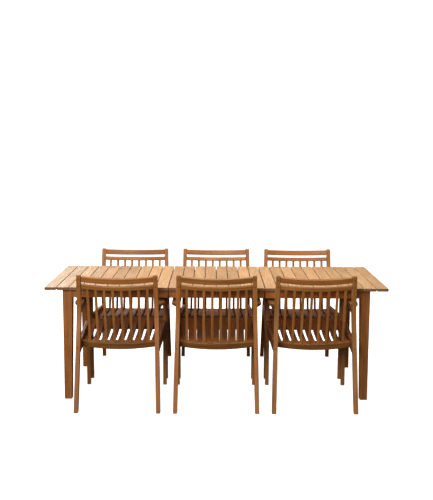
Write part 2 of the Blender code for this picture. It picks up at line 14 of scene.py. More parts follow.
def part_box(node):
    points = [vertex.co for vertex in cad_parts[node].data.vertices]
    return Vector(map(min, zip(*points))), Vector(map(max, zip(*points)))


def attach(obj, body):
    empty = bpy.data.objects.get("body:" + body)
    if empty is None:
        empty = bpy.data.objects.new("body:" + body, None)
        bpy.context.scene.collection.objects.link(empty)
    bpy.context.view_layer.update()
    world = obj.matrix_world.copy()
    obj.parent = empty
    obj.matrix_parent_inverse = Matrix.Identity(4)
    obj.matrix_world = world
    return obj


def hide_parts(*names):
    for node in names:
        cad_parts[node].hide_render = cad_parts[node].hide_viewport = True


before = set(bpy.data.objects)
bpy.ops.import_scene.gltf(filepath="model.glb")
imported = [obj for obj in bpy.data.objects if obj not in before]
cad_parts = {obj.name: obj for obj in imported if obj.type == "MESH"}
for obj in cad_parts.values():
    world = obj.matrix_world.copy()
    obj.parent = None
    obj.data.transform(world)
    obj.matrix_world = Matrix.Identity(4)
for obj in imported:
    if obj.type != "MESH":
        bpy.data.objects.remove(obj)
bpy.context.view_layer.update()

DICE = random.Random(11)

# ---------------------------------------------------------------- sizes
FIT = 0.0003
CURVED_FIT = 0.0008

# chair
CHAIR_WIDTH = 0.567
CHAIR_DEPTH = 0.620
SEAT_HEIGHT = 0.457
SEAT_DROP = 0.049
SEAT_CURVE = 3
REAR_LEG_WIDTH = 0.027
FOOT_DEPTH = 0.034
KNEE_DEPTH = 0.041
HEAD_DEPTH = 0.028
SPLAY = 0.0226
KNEE_HEIGHT = 0.620
KNEE_FORWARD = 0.107
KNEE_ROUNDING = 0.080
KNEE_STEPS = 8
FRONT_LEG_SIZE = 0.025
FRONT_LEG_INSET = 0.009
REAR_LEG_INSET = 0.0073
ARM_WIDTH = 0.054
ARM_THICKNESS = 0.022
ARM_FLARE = 0.090
ARM_FLARE_STEPS = 8
ARM_OVERHANG = 0.014
ARM_NOSE_STEPS = 8
RIB_WIDTH = 0.020
RIB_DEPTH = 0.034
BACK_TILT = math.radians(15)
BACK_FORWARD = 0.205
BACK_RAIL_DROP = 0.003
BACK_SAGITTA = 0.034
SEAT_RAIL_SAGITTA = 0.040
TOP_RAIL_HEIGHT = 0.036
SECOND_RAIL_HEIGHT = 0.026
SEAT_RAIL_HEIGHT = 0.042
RAIL_GAP = 0.018
RAIL_THICKNESS = 0.020
RAIL_STEPS = 24
POST_PROUD = 0.006
SPINDLES = 8
SPINDLE_WIDTH = 0.016
SPINDLE_THICKNESS = 0.013
SPINDLE_END_GAP = 0.0308
TENON = 0.003
SLAT_THICKNESS = 0.014
SLAT_GAP = 0.016
SLAT_SIDE_GAP = 0.006
SLAT_OVERHANG = 0.004
SLAT_STEPS = 14
SIDE_RAIL_THICKNESS = 0.022
SIDE_RAIL_HEIGHT = 0.072
SIDE_RAIL_RISE = 0.027
FRONT_RAIL_HEIGHT = 0.053
FRONT_RAIL_SET_IN = 0.002
BEARER_THICKNESS = 0.022
BEARER_HEIGHT = 0.031
BEARER_FORWARD = 0.075
PLUG_RADIUS = 0.0045
PLUG_PROUD = 0.0004
PLUG_LENGTH = 0.006

# table
HALF_BOARDS = 10
LEAF_BOARDS = 8
BOARD_GAP = 0.0055
BOARD_THICKNESS = 0.020
TABLE_LEG_TOP = 0.062
TABLE_LEG_FOOT = 0.047
BATTEN_WIDTH = 0.024
BATTEN_HEIGHT = 0.030
BATTEN_END = 0.050
LEAF_BATTEN_HEIGHT = 0.025
LEAF_BATTEN_INSET = 0.004
THROUGH_BATTENS = 3
THROUGH_WIDTH = 0.045
THROUGH_HEIGHT = 0.018
THROUGH_GAP = 0.0715
THROUGH_END = 0.030
NOTCH_CLEARANCE = 0.001
SLIDE_CLEARANCE = 0.002
KEEPER_LENGTH = 0.040
KEEPER_THICKNESS = 0.009
KEEPER_INSET = 0.060
KEEPER_SHORT = 0.002
SLIDE_REACH = 0.310
LET_IN = 0.0025
SCREW_RADIUS = 0.0040
SCREW_HEAD = 0.0022

# Painted shade: the arms, their ribs and the seat's rail are drawn darker than the rest, for the
# shade they sit in under the table.
PAINTED_SHADE_BOARDS = {
    "arm_left": 0.58, "arm_right": 0.58,
    "arm_rib_left": 0.60, "arm_rib_right": 0.60,
    "seat_rail": 0.64,
}

# how far an arris is rounded off
EASED_BOARD = 0.0022
EASED_RAIL = 0.0030
EASED_SLAT = 0.0028
EASED_LEG = 0.0022
EASED_ARM = 0.0050
EASED_HIDDEN = 0.0012

# camera and lights
LENS = 58.8
CAMERA_PLACE = (-0.0194, -5.544, 1.712)
CAMERA_TURN = -0.0034
CAMERA_TIP = 0.1402  # below level
CAMERA_ROLL = 0.0054
SOFTBOXES = (  # name, place, aim, width, height, watts
    ("overhead_softbox", (0.1, 0.1, 3.2), (0.0, 0.1, 0.0), 2.8, 1.6, 68),
    ("front_softbox", (-1.4, -5.8, 2.8), (0.0, 0.0, 0.6), 2.6, 1.8, 225),
    ("window_behind", (-3.0, 4.6, 2.3), (-1.0, 0.0, 0.75), 2.4, 1.8, 135),
)
CEILING_GLOW = 0.44
BACKDROP_GLOW = 1.05
FLOOR_GLOW = 0.85
FLOOR_SIZE = 80.0
FLOOR_DROP = 0.0005

# ---------------------------------------------------------------- places that the frame gives
TABLE_LOW, TABLE_HIGH = (Vector(corner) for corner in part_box("half_top_right"))
LEAF_LOW, LEAF_HIGH = (Vector(corner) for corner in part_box("leaf_top"))
BOARD_UNDERSIDE = TABLE_HIGH.z - BOARD_THICKNESS
SLIDE_LOW, SLIDE_HIGH = (Vector(corner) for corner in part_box("slide_rail_far"))
SLIDE_Y = (SLIDE_LOW.y + SLIDE_HIGH.y) / 2
SLIDE_HALF_SPACE = (SLIDE_HIGH.y - SLIDE_LOW.y) / 2 + SLIDE_CLEARANCE + BATTEN_WIDTH
THROUGH_LAST = SLIDE_Y - SLIDE_HALF_SPACE - THROUGH_GAP - THROUGH_WIDTH / 2
THROUGH_SPACING = 2 * THROUGH_LAST / (THROUGH_BATTENS - 1)
CHAIR_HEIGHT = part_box("near_middle_chair_rear_leg_left")[1][2]
ARM_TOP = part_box("near_middle_chair_front_leg_and_arm_left")[1][2]
ARM_BOTTOM = ARM_TOP - ARM_THICKNESS
CHAIR_X = (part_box("near_right_chair_seat")[0][0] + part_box("near_right_chair_seat")[1][0]) / 2
CHAIR_Y = -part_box("near_middle_chair_rear_leg_left")[0][1] - CHAIR_DEPTH / 2

FRONT_Y = CHAIR_DEPTH / 2
REAR_FOOT_Y = -FRONT_Y + FOOT_DEPTH / 2
KNEE_Y = REAR_FOOT_Y + KNEE_FORWARD
FRONT_LEG_X = CHAIR_WIDTH / 2 - FRONT_LEG_INSET - FRONT_LEG_SIZE / 2
REAR_FOOT_X = FRONT_LEG_X - REAR_LEG_INSET
BACK_Y = -FRONT_Y + BACK_FORWARD
BACK_Z = SEAT_HEIGHT - SEAT_DROP - SLAT_THICKNESS / 2 - BACK_RAIL_DROP
RISE = math.cos(BACK_TILT)
LEAN = math.sin(BACK_TILT)
TOP_RAIL_V = (CHAIR_HEIGHT - POST_PROUD - BACK_Z) / RISE - TOP_RAIL_HEIGHT / 2
SECOND_RAIL_V = TOP_RAIL_V - (TOP_RAIL_HEIGHT + SECOND_RAIL_HEIGHT) / 2 - RAIL_GAP
POST_UPPER_Y = BACK_Y - LEAN * TOP_RAIL_V
POST_UPPER_Z = BACK_Z + RISE * TOP_RAIL_V
SLAT_FRONT_Y = FRONT_Y + SLAT_OVERHANG


# ---------------------------------------------------------------- camera and studio
def take_camera():
    """Across the room from the long side, a little above the table, looking slightly down."""
    lens = bpy.data.cameras.new("camera")
    lens.lens = LENS
    camera = bpy.data.objects.new("camera", lens)
    bpy.context.scene.collection.objects.link(camera)
    camera.location = CAMERA_PLACE
    turn = Matrix.Rotation(CAMERA_TURN, 3, "Z")
    tip = Matrix.Rotation(math.pi / 2 - CAMERA_TIP, 3, "X")
    roll = Matrix.Rotation(CAMERA_ROLL, 3, "Z")
    camera.rotation_euler = (turn @ tip @ roll).to_euler()
    bpy.context.scene.camera = camera


def softbox(name, place, aim, width, height, power):
    lamp = bpy.data.lights.new(name, "AREA")
    lamp.shape = "RECTANGLE"
    lamp.size = width
    lamp.size_y = height
    lamp.energy = power
    stand = bpy.data.objects.new(name, lamp)
    bpy.context.scene.collection.objects.link(stand)
    stand.location = place
    stand.rotation_euler = (Vector(aim) - Vector(place)).to_track_quat("-Z", "Y").to_euler()
    stand.visible_camera = False


def studio():
    """A white room, brighter above: a light overhead, a fill from the front, a window behind."""
    bpy.context.scene.view_settings.view_transform = "Standard"
    for light in SOFTBOXES:
        softbox(*light)
    world = bpy.data.worlds.new("white_room")
    bpy.context.scene.world = world
    world.use_nodes = True
    tree = world.node_tree
    tree.nodes.clear()
    up = add(tree, "TexCoord").outputs["Generated"]
    height = add(tree, "SeparateXYZ", {"Vector": up}).outputs["Z"]
    glow = {"Value": height, "From Min": -0.4, "From Max": 0.9, "To Max": CEILING_GLOW}
    lit = add(tree, "MapRange", glow).outputs["Result"]
    room = add(tree, "Background", {"Strength": lit}).outputs[0]
    backdrop = add(tree, "Background", {"Strength": BACKDROP_GLOW}).outputs[0]
    for light in (room, backdrop):
        light.node.inputs["Color"].default_value = (1.0, 1.0, 1.0, 1.0)
    seen = add(tree, "LightPath").outputs["Is Camera Ray"]
    mixed = add(tree, "MixShader", {0: seen, 1: room, 2: backdrop}).outputs[0]
    add(tree, "OutputWorld", {"Surface": mixed})
    bpy.ops.mesh.primitive_plane_add(size=FLOOR_SIZE, location=(0.0, 0.0, -FLOOR_DROP))
    floor = bpy.context.object
    floor.name = "studio_floor"
    floor.data.materials.append(white_floor())
    floor.visible_diffuse = False
    floor.visible_glossy = False


# ---------------------------------------------------------------- finishes
def linear(code):
    """An sRGB hex colour as the linear values that a shader takes."""
    parts = [int(code[i:i + 2], 16) / 255 for i in (1, 3, 5)]
    parts = [c / 12.92 if c <= 0.04045 else ((c + 0.055) / 1.055) ** 2.4 for c in parts]
    return (*parts, 1.0)


def add(tree, kind, inputs=None, **settings):
    """A node with its settings, its values and its links."""
    made = tree.nodes.new("ShaderNode" + kind)
    for key, value in settings.items():
        setattr(made, key, value)
    for socket, value in (inputs or {}).items():
        if isinstance(value, bpy.types.NodeSocket):
            tree.links.new(value, made.inputs[socket])
        else:
            made.inputs[socket].default_value = value
    return made


def white_floor():
    """Matt white paint on a seamless floor, lit from within so that shadows stay faint."""
    material = bpy.data.materials.new("matt_white_floor")
    material.use_nodes = True
    shader = material.node_tree.nodes["Principled BSDF"]
    shader.inputs["Base Color"].default_value = linear("#F2F1EF")
    shader.inputs["Roughness"].default_value = 0.9
    shader.inputs["Specular IOR Level"].default_value = 0.0
    shader.inputs["Emission Color"].default_value = (1.0, 1.0, 1.0, 1.0)
    shader.inputs["Emission Strength"].default_value = FLOOR_GLOW
    return material


# Teak's rings lie 3 to 8 mm apart. Its pores are 0.3 mm wide, too fine to see at this distance,
# so they are drawn at 1 mm.
RING_WIDTH = 0.0065
STREAK_WIDTH = 0.0060
FIBRE_WIDTH = 0.0012
PORE_WIDTH = 0.0010
BLOTCH_WIDTH = 0.055
WANDER = 0.010
WANDER_LENGTH = 0.20


def oiled_teak(name, pale, dark, red, roughness):
    """Planed, sanded and oiled teak: golden with darker bands along the grain, and a low sheen.

    The grain attribute holds each point's place across and along the timber it belongs to, so the
    figure follows every piece. Tone and warmth differ from piece to piece, and the tone also
    carries painted shade on the darker arms, ribs and seat rail.
    """
    material = bpy.data.materials.new(name)
    material.use_nodes = True
    tree = material.node_tree
    shader = tree.nodes["Principled BSDF"]
    grain = add(tree, "Attribute", attribute_name="grain").outputs["Vector"]
    tone = add(tree, "Attribute", attribute_name="tone").outputs["Fac"]
    warmth = add(tree, "Attribute", attribute_name="warmth").outputs["Fac"]
    end = add(tree, "Attribute", attribute_name="end_grain").outputs["Fac"]
    arris = add(tree, "Attribute", attribute_name="arris").outputs["Fac"]

    def stretched(share):
        return add(tree, "Mapping", {"Vector": grain, "Scale": (1.0, 1.0, share)}).outputs[0]

    def noise(width, share, detail):
        values = {"Vector": stretched(share), "Scale": 1 / width, "Detail": detail}
        return add(tree, "TexNoise", values)

    def ranged(value, low, high, start=0.0, stop=1.0):
        values = {"Value": value, "From Min": low, "From Max": high}
        values.update({"To Min": start, "To Max": stop})
        return add(tree, "MapRange", values).outputs["Result"]

    def mixed(share, first, second, blend="MIX"):
        values = {0: share, 6: first, 7: second}
        return add(tree, "Mix", values, data_type="RGBA", blend_type=blend).outputs[2]

    def sum_of(first, second, share):
        values = {0: second, 1: share, 2: first}
        return add(tree, "Math", values, operation="MULTIPLY_ADD").outputs[0]

    wander = noise(WANDER_LENGTH, 0.35, 1.0).outputs["Color"]
    centred = add(tree, "VectorMath", {0: wander, 1: (0.5, 0.5, 0.5)}, operation="SUBTRACT")
    pushed = {0: centred.outputs[0], 1: (WANDER * 4, WANDER * 4, 0.0), 2: grain}
    bent = add(tree, "VectorMath", pushed, operation="MULTIPLY_ADD").outputs[0]
    rings = add(
        tree, "TexWave",
        {"Vector": bent, "Scale": math.pi / 10 / RING_WIDTH, "Distortion": 1.6, "Detail": 2.0},
        wave_type="RINGS", rings_direction="Z", wave_profile="SAW",
    ).outputs["Fac"]
    streaks = noise(STREAK_WIDTH, 0.035, 3.0).outputs["Fac"]
    fibres = noise(FIBRE_WIDTH, 0.020, 2.0).outputs["Fac"]
    blotches = noise(BLOTCH_WIDTH, 0.18, 2.0).outputs["Fac"]
    pores = ranged(noise(PORE_WIDTH, 0.07, 1.0).outputs["Fac"], 0.60, 0.72)

    figure = sum_of(ranged(streaks, 0.34, 0.66, 0.0, 0.42), rings, 0.26)
    figure = sum_of(figure, ranged(blotches, 0.35, 0.65), 0.32)
    colour = mixed(figure, linear(pale), linear(dark))
    colour = mixed(ranged(warmth, 0.0, 1.0, 0.0, 0.55), colour, linear(red))
    fine = ranged(fibres, 0.30, 0.70, 0.86, 1.10)
    # tone: random tone per piece, times painted shade on the arms, ribs and seat rail
    bright = add(tree, "Math", {0: fine, 1: tone}, operation="MULTIPLY").outputs[0]
    colour = add(tree, "HueSaturation", {"Value": bright, "Color": colour}).outputs[0]
    dark_pore = linear("#3A2110")
    colour = mixed(ranged(pores, 0.0, 1.0, 0.0, 0.45), colour, dark_pore)
    colour = mixed(ranged(end, 0.0, 1.0, 0.0, 0.72), colour, linear("#57310F"))
    # painted highlight: the rounded arrises are drawn a little paler, as if catching the light
    colour = mixed(ranged(arris, 0.0, 1.0, 0.0, 0.06), colour, linear("#E0B983"))
    tree.links.new(colour, shader.inputs["Base Color"])

    dull = sum_of(ranged(streaks, 0.3, 0.7, roughness - 0.07, roughness + 0.07), pores, 0.16)
    tree.links.new(sum_of(dull, end, 0.15), shader.inputs["Roughness"])
    height = sum_of(ranged(fibres, 0.2, 0.8, 0.0, 0.5), rings, 0.22)
    height = sum_of(height, pores, -0.9)
    bump = {"Height": height, "Strength": 0.55, "Distance": 0.0006}
    tree.links.new(add(tree, "Bump", bump).outputs[0], shader.inputs["Normal"])
    shader.inputs["IOR"].default_value = 1.47
    return material


def plug_teak():
    """End-grain teak plugs over the screws: darker than the timber, with rings and open pores."""
    material = bpy.data.materials.new("end_grain_teak_plug")
    material.use_nodes = True
    tree = material.node_tree
    shader = tree.nodes["Principled BSDF"]
    place = add(tree, "TexCoord").outputs["Object"]
    spots = add(tree, "TexNoise", {"Vector": place, "Scale": 1 / PORE_WIDTH, "Detail": 2.0})
    colour = add(
        tree, "Mix", {0: spots.outputs["Fac"], 6: linear("#4A2A14"), 7: linear("#7A4C26")},
        data_type="RGBA",
    ).outputs[2]
    tree.links.new(colour, shader.inputs["Base Color"])
    rough = {"Value": spots.outputs["Fac"], "To Min": 0.55, "To Max": 0.75}
    tree.links.new(add(tree, "MapRange", rough).outputs[0], shader.inputs["Roughness"])
    bump = {"Height": spots.outputs["Fac"], "Strength": 0.4, "Distance": 0.0003}
    tree.links.new(add(tree, "Bump", bump).outputs[0], shader.inputs["Normal"])
    return material


def screw_steel():
    """Turned stainless steel: bright grey, with rings from the tool that blur its reflections."""
    material = bpy.data.materials.new("turned_stainless_steel")
    material.use_nodes = True
    tree = material.node_tree
    shader = tree.nodes["Principled BSDF"]
    place = add(tree, "TexCoord").outputs["Object"]
    marks = add(tree, "TexNoise", {"Vector": place, "Scale": 1 / 0.0008, "Detail": 3.0})
    level = marks.outputs["Fac"]
    colour = add(
        tree, "Mix", {0: level, 6: linear("#9C9B98"), 7: linear("#C9C8C4")}, data_type="RGBA"
    ).outputs[2]
    tree.links.new(colour, shader.inputs["Base Color"])
    rough = {"Value": level, "To Min": 0.28, "To Max": 0.46}
    tree.links.new(add(tree, "MapRange", rough).outputs[0], shader.inputs["Roughness"])
    bump = {"Height": level, "Strength": 0.3, "Distance": 0.0001}
    tree.links.new(add(tree, "Bump", bump).outputs[0], shader.inputs["Normal"])
    shader.inputs["Metallic"].default_value = 1.0
    return material


# ---------------------------------------------------------------- timber
FLAT_ON = {"X": (0.0, math.pi / 2, 0.0), "Y": (math.pi / 2, 0.0, 0.0), "Z": (0.0, 0.0, 0.0)}


def spread(axis, pair):
    """Two sizes across a timber as scales along X, Y and Z."""
    scales = list(pair)
    scales.insert("XYZ".index(axis), 1.0)
    return scales


def draw_out(name, axis, stations):
    """A bar begun as a flat plate, then extruded from each station to the next.

    A station is the bar's middle there and its two sizes across.
    """
    bpy.ops.object.select_all(action="DESELECT")
    place, size = stations[0]
    bpy.ops.mesh.primitive_plane_add(size=1.0, location=place, rotation=FLAT_ON[axis])
    bar = bpy.context.object
    bar.name = name
    bpy.ops.object.transform_apply(location=True, rotation=True, scale=True)
    bpy.ops.object.mode_set(mode="EDIT")
    bpy.ops.transform.resize(value=spread(axis, size), center_override=place)
    for next_place, next_size in stations[1:]:
        move = Vector(next_place) - Vector(place)
        bpy.ops.mesh.extrude_region_move(TRANSFORM_OT_translate={"value": move})
        scales = [after / before for after, before in zip(next_size, size)]
        bpy.ops.transform.resize(value=spread(axis, scales), center_override=next_place)
        place, size = next_place, next_size
    bpy.ops.mesh.select_all(action="SELECT")
    bpy.ops.mesh.normals_make_consistent(inside=False)
    bpy.ops.object.mode_set(mode="OBJECT")
    return bar


def push(piece, chosen, move):
    """Moves the corners that chosen picks."""
    bpy.ops.object.mode_set(mode="EDIT")
    bpy.ops.mesh.select_all(action="DESELECT")
    bpy.ops.object.mode_set(mode="OBJECT")
    for vertex in piece.data.vertices:
        vertex.select = chosen(vertex.co)
    bpy.ops.object.mode_set(mode="EDIT")
    bpy.ops.transform.translate(value=move)
    bpy.ops.object.mode_set(mode="OBJECT")


def apply_modifier(piece, kind, **settings):
    bpy.context.view_layer.objects.active = piece
    step = piece.modifiers.new(kind.lower(), kind)
    for key, value in settings.items():
        setattr(step, key, value)
    bpy.ops.object.modifier_apply(modifier=step.name)


def ease(piece, width, steps=3):
    """Rounds every arris, marks the rounded faces, and keeps the flat faces flat in the light."""
    mesh = piece.data
    mesh.shade_smooth()
    for _ in range(2):
        mesh.materials.append(None)
    apply_modifier(
        piece, "BEVEL", width=width, segments=steps, limit_method="ANGLE",
        angle_limit=math.radians(40), material=1,
    )
    apply_modifier(piece, "WEIGHTED_NORMAL", weight=50)
    mesh = piece.data
    marks = mesh.attributes.new("arris", "FLOAT", "FACE")
    for face, mark in zip(mesh.polygons, marks.data):
        mark.value = float(face.material_index == 1)
        face.material_index = 0
    mesh.materials.clear()


def middle_at(stations, along, value):
    """The bar's middle at a place along it, between the two stations that it lies between."""
    places = [Vector(place) for place, _ in stations]
    for start, stop in zip(places, places[1:]):
        low, high = sorted((start[along], stop[along]))
        if low <= value <= high and high > low:
            return start.lerp(stop, (value - start[along]) / (stop[along] - start[along]))
    return min(places, key=lambda place: abs(place[along] - value))


def run_grain(piece, axis, stations):
    """Gives every point its place across and along the timber, and marks its two end faces."""
    along = "XYZ".index(axis)
    mesh = piece.data
    grain = mesh.attributes.new("grain", "FLOAT_VECTOR", "POINT")
    for vertex, value in zip(mesh.vertices, grain.data):
        across = list(vertex.co - middle_at(stations, along, vertex.co[along]))
        across.pop(along)
        value.vector = (*across, vertex.co[along])
    ends = mesh.attributes.new("end_grain", "FLOAT", "FACE")
    for face, value in zip(mesh.polygons, ends.data):
        value.value = float(abs(face.normal[along]) > 0.8)


def timber(name, axis, stations, easing, pushes=(), steps=3):
    """A finished stick of wood: drawn out, trimmed, eased, and with its grain run along it."""
    piece = draw_out(name, axis, stations)
    for chosen, move in pushes:
        push(piece, chosen, move)
    ease(piece, easing, steps)
    run_grain(piece, axis, stations)
    return piece


def block(name, axis, low, high, easing):
    """A straight stick that fills the box from low to high."""
    low, high = Vector(low), Vector(high)
    along = "XYZ".index(axis)
    middle = (low + high) / 2
    size = list(high - low)
    length = size.pop(along)
    ends = []
    for end in (-length / 2, length / 2):
        place = middle.copy()
        place[along] += end
        ends.append((tuple(place), tuple(size)))
    return timber(name, axis, ends, easing)


def lay_back(piece):
    """Turns a piece made upright at the origin into the back's slope."""
    bpy.ops.object.select_all(action="DESELECT")
    piece.select_set(True)
    bpy.context.view_layer.objects.active = piece
    piece.rotation_euler = (BACK_TILT, 0.0, 0.0)
    piece.location = (0.0, BACK_Y, BACK_Z)
    bpy.ops.object.transform_apply(location=True, rotation=True, scale=True)
    return piece


def choose_wood(mesh, shade):
    """Cuts this piece from its own part of a log: a place near the heart, a tone and a warmth;
    shade scales the tone, as painted shade on pieces drawn darker.
    """
    turn = DICE.uniform(0.0, 2 * math.pi)
    from_heart = DICE.uniform(0.035, 0.11)
    shift = Vector((
        from_heart * math.cos(turn), from_heart * math.sin(turn), DICE.uniform(0.0, 20.0)
    ))
    if "grain" in mesh.attributes:
        for value in mesh.attributes["grain"].data:
            value.vector = Vector(value.vector) + shift
    # random tone, times the painted shade of the arms, ribs and seat rail
    tone_with_painted_shade = shade * DICE.gauss(1.0, 0.085)
    warm = min(1.0, max(0.0, DICE.gauss(0.35, 0.3)))
    for name, level in (("tone", tone_with_painted_shade), ("warmth", warm)):
        values = mesh.attributes.new(name, "FLOAT", "POINT")
        for value in values.data:
            value.value = level


def set_out(pattern, name, body, node, slot, place=None, material=None, shade=1.0):
    """A piece of the set: a copy of its pattern, with its own mesh in its own place."""
    mesh = pattern.data.copy()
    mesh.name = name
    if place is not None:
        mesh.transform(place)
    choose_wood(mesh, shade)
    mesh.materials.append(material or WOODS[slot])
    made = bpy.data.objects.new(name, mesh)
    bpy.context.scene.collection.objects.link(made)
    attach(made, body)
    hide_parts(node)
    return made


def drop(pattern):
    bpy.data.objects.remove(pattern, do_unlink=True)


# ---------------------------------------------------------------- lines that the chair follows
def leg_middle_y(z):
    lower = (KNEE_Y - REAR_FOOT_Y) / KNEE_HEIGHT
    upper = (POST_UPPER_Y - KNEE_Y) / (POST_UPPER_Z - KNEE_HEIGHT)
    away = z - KNEE_HEIGHT
    if away < -KNEE_ROUNDING:
        return KNEE_Y + lower * away
    if away > KNEE_ROUNDING:
        return KNEE_Y + upper * away
    bend = (upper - lower) / (4 * KNEE_ROUNDING)
    return KNEE_Y + lower * away + bend * (away + KNEE_ROUNDING) ** 2


def leg_depth(z):
    if z < KNEE_HEIGHT:
        return FOOT_DEPTH + (KNEE_DEPTH - FOOT_DEPTH) * z / KNEE_HEIGHT
    taper = (HEAD_DEPTH - KNEE_DEPTH) / (CHAIR_HEIGHT - KNEE_HEIGHT)
    return KNEE_DEPTH + taper * (z - KNEE_HEIGHT)


def leg_front_y(z):
    return leg_middle_y(z) + leg_depth(z) / 2


def leg_x(z):
    return REAR_FOOT_X - SPLAY * z


def leg_inner_x(z):
    return leg_x(z) - REAR_LEG_WIDTH / 2


def side_rail_x(y):
    z = SEAT_HEIGHT - SEAT_DROP
    start = leg_front_y(z)
    share = (y - start) / (FRONT_Y - FRONT_LEG_SIZE - start)
    return leg_x(z) + share * (FRONT_LEG_X - leg_x(z))


def side_rail_inner_x(y):
    return side_rail_x(y) - SIDE_RAIL_THICKNESS / 2


def bulge(sagitta, share):
    return sagitta * (1 - share * share)


def slat_pitch(y):
    return (side_rail_inner_x(y) - SLAT_SIDE_GAP + SLAT_GAP / 2) / ((SPINDLES + 1) / 2)


def slat_top_z(y):
    share = max(0.0, (y - BACK_Y) / (SLAT_FRONT_Y - BACK_Y))
    return SEAT_HEIGHT - SEAT_DROP * (1 - share**SEAT_CURVE)


def seat_rail_front_y(x, z):
    w = bulge(SEAT_RAIL_SAGITTA, x / side_rail_inner_x(BACK_Y)) - RAIL_THICKNESS / 2
    v = (z - BACK_Z + LEAN * w) / RISE
    return BACK_Y - LEAN * v - RISE * w


# ---------------------------------------------------------------- the chair's pieces
def rear_leg(side):
    low, high = KNEE_HEIGHT - KNEE_ROUNDING, KNEE_HEIGHT + KNEE_ROUNDING
    heights = [0.0, low / 3, 2 * low / 3]
    heights += [low + (high - low) * i / KNEE_STEPS for i in range(KNEE_STEPS + 1)]
    heights += [(high + CHAIR_HEIGHT) / 2, CHAIR_HEIGHT]
    stations = [
        ((side * leg_x(z), leg_middle_y(z), z), (REAR_LEG_WIDTH, leg_depth(z))) for z in heights
    ]
    return timber("rear_leg", "Z", stations, EASED_LEG)


def front_leg(side):
    half = FRONT_LEG_SIZE / 2
    low = (side * FRONT_LEG_X - half, FRONT_Y - FRONT_LEG_SIZE, 0.0)
    high = (side * FRONT_LEG_X + half, FRONT_Y, ARM_BOTTOM - FIT)
    return block("front_leg", "Z", low, high, EASED_LEG)


def arm_rear_y():
    heights = [ARM_TOP - (ARM_THICKNESS + RIB_DEPTH) * i / 6 for i in range(7)]
    return max(leg_front_y(z) for z in heights) + CURVED_FIT


def arm(side):
    """Narrow at the rear leg, swelling outwards along the flare, with a half-round nose."""
    rear = arm_rear_y()
    front = FRONT_Y + ARM_OVERHANG
    start_x = leg_x(ARM_TOP)
    end_x = CHAIR_WIDTH / 2 - ARM_WIDTH / 2
    middle_z = ARM_TOP - ARM_THICKNESS / 2
    stations = []
    for i in range(ARM_FLARE_STEPS + 1):
        share = i / ARM_FLARE_STEPS
        swell = share * share * (3 - 2 * share)
        x = start_x + (end_x - start_x) * swell
        width = REAR_LEG_WIDTH + (ARM_WIDTH - REAR_LEG_WIDTH) * swell
        stations.append(((side * x, rear + ARM_FLARE * share, middle_z), (width, ARM_THICKNESS)))
    stations.append(((side * end_x, front, middle_z), (ARM_WIDTH, ARM_THICKNESS)))
    piece = draw_out("arm", "Y", stations)
    round_nose(piece, front - FIT)
    ease(piece, EASED_ARM, 4)
    run_grain(piece, "Y", stations)
    return piece


def round_nose(piece, from_y):
    """Rounds the two upright edges in front of from_y into a half circle."""
    bpy.ops.object.mode_set(mode="EDIT")
    bpy.ops.mesh.select_mode(type="EDGE")
    bpy.ops.mesh.select_all(action="DESELECT")
    bpy.ops.object.mode_set(mode="OBJECT")
    corners = piece.data.vertices
    for edge in piece.data.edges:
        one, other = (corners[i].co for i in edge.vertices)
        edge.select = min(one.y, other.y) > from_y and abs(one.z - other.z) > ARM_THICKNESS / 2
    bpy.ops.object.mode_set(mode="EDIT")
    bpy.ops.mesh.bevel(offset=ARM_WIDTH / 2 - FIT, segments=ARM_NOSE_STEPS, affect="EDGES")
    bpy.ops.mesh.select_mode(type="VERT")
    bpy.ops.object.mode_set(mode="OBJECT")


def arm_rib(side):
    """The rail on edge under the arm, between the two legs."""
    rear = arm_rear_y()
    front = FRONT_Y - FRONT_LEG_SIZE - FIT
    z = ARM_BOTTOM - RIB_DEPTH / 2
    size = (RIB_WIDTH, RIB_DEPTH - FIT)
    stations = [((side * leg_x(ARM_TOP), rear, z), size), ((side * FRONT_LEG_X, front, z), size)]
    return timber("arm_rib", "Y", stations, EASED_HIDDEN)


def bent_rail(name, v, height, sagitta, reach):
    """A rail sawn to a curve that bulges backwards, laid into the back's slope."""
    stations = []
    for i in range(RAIL_STEPS + 1):
        share = 2 * i / RAIL_STEPS - 1
        place = (share * reach, -bulge(sagitta, share), v)
        stations.append((place, (RAIL_THICKNESS, height)))
    return lay_back(timber(name, "X", stations, EASED_RAIL))


def back_height(v):
    return BACK_Z + RISE * v


def top_rail():
    reach = leg_inner_x(back_height(TOP_RAIL_V + TOP_RAIL_HEIGHT / 2)) - FIT
    return bent_rail("top_rail", TOP_RAIL_V, TOP_RAIL_HEIGHT, BACK_SAGITTA, reach)


def second_rail():
    reach = leg_inner_x(back_height(SECOND_RAIL_V + SECOND_RAIL_HEIGHT / 2)) - FIT
    return bent_rail("second_rail", SECOND_RAIL_V, SECOND_RAIL_HEIGHT, BACK_SAGITTA, reach)


def seat_rail():
    reach = side_rail_inner_x(BACK_Y - RAIL_THICKNESS) - FIT
    return bent_rail("seat_rail", 0.0, SEAT_RAIL_HEIGHT, SEAT_RAIL_SAGITTA, reach)


def spindle(place):
    """A straight spindle, tenoned into the seat rail and the second rail."""
    head_inner = leg_inner_x(back_height(SECOND_RAIL_V))
    pitch = (head_inner - SPINDLE_END_GAP - SPINDLE_WIDTH / 2) / ((SPINDLES - 1) / 2)
    foot_x = place * slat_pitch(BACK_Y)
    foot = Vector((foot_x, -bulge(SEAT_RAIL_SAGITTA, foot_x / side_rail_inner_x(BACK_Y)), 0.0))
    head_x = place * pitch
    head = Vector((head_x, -bulge(BACK_SAGITTA, head_x / head_inner), SECOND_RAIL_V))
    low = (SEAT_RAIL_HEIGHT / 2 - TENON) / SECOND_RAIL_V
    high = 1 - (SECOND_RAIL_HEIGHT / 2 - TENON) / SECOND_RAIL_V
    size = (SPINDLE_WIDTH, SPINDLE_THICKNESS)
    stations = [(tuple(foot.lerp(head, share)), size) for share in (low, high)]
    return lay_back(timber("spindle", "Z", stations, EASED_SLAT))


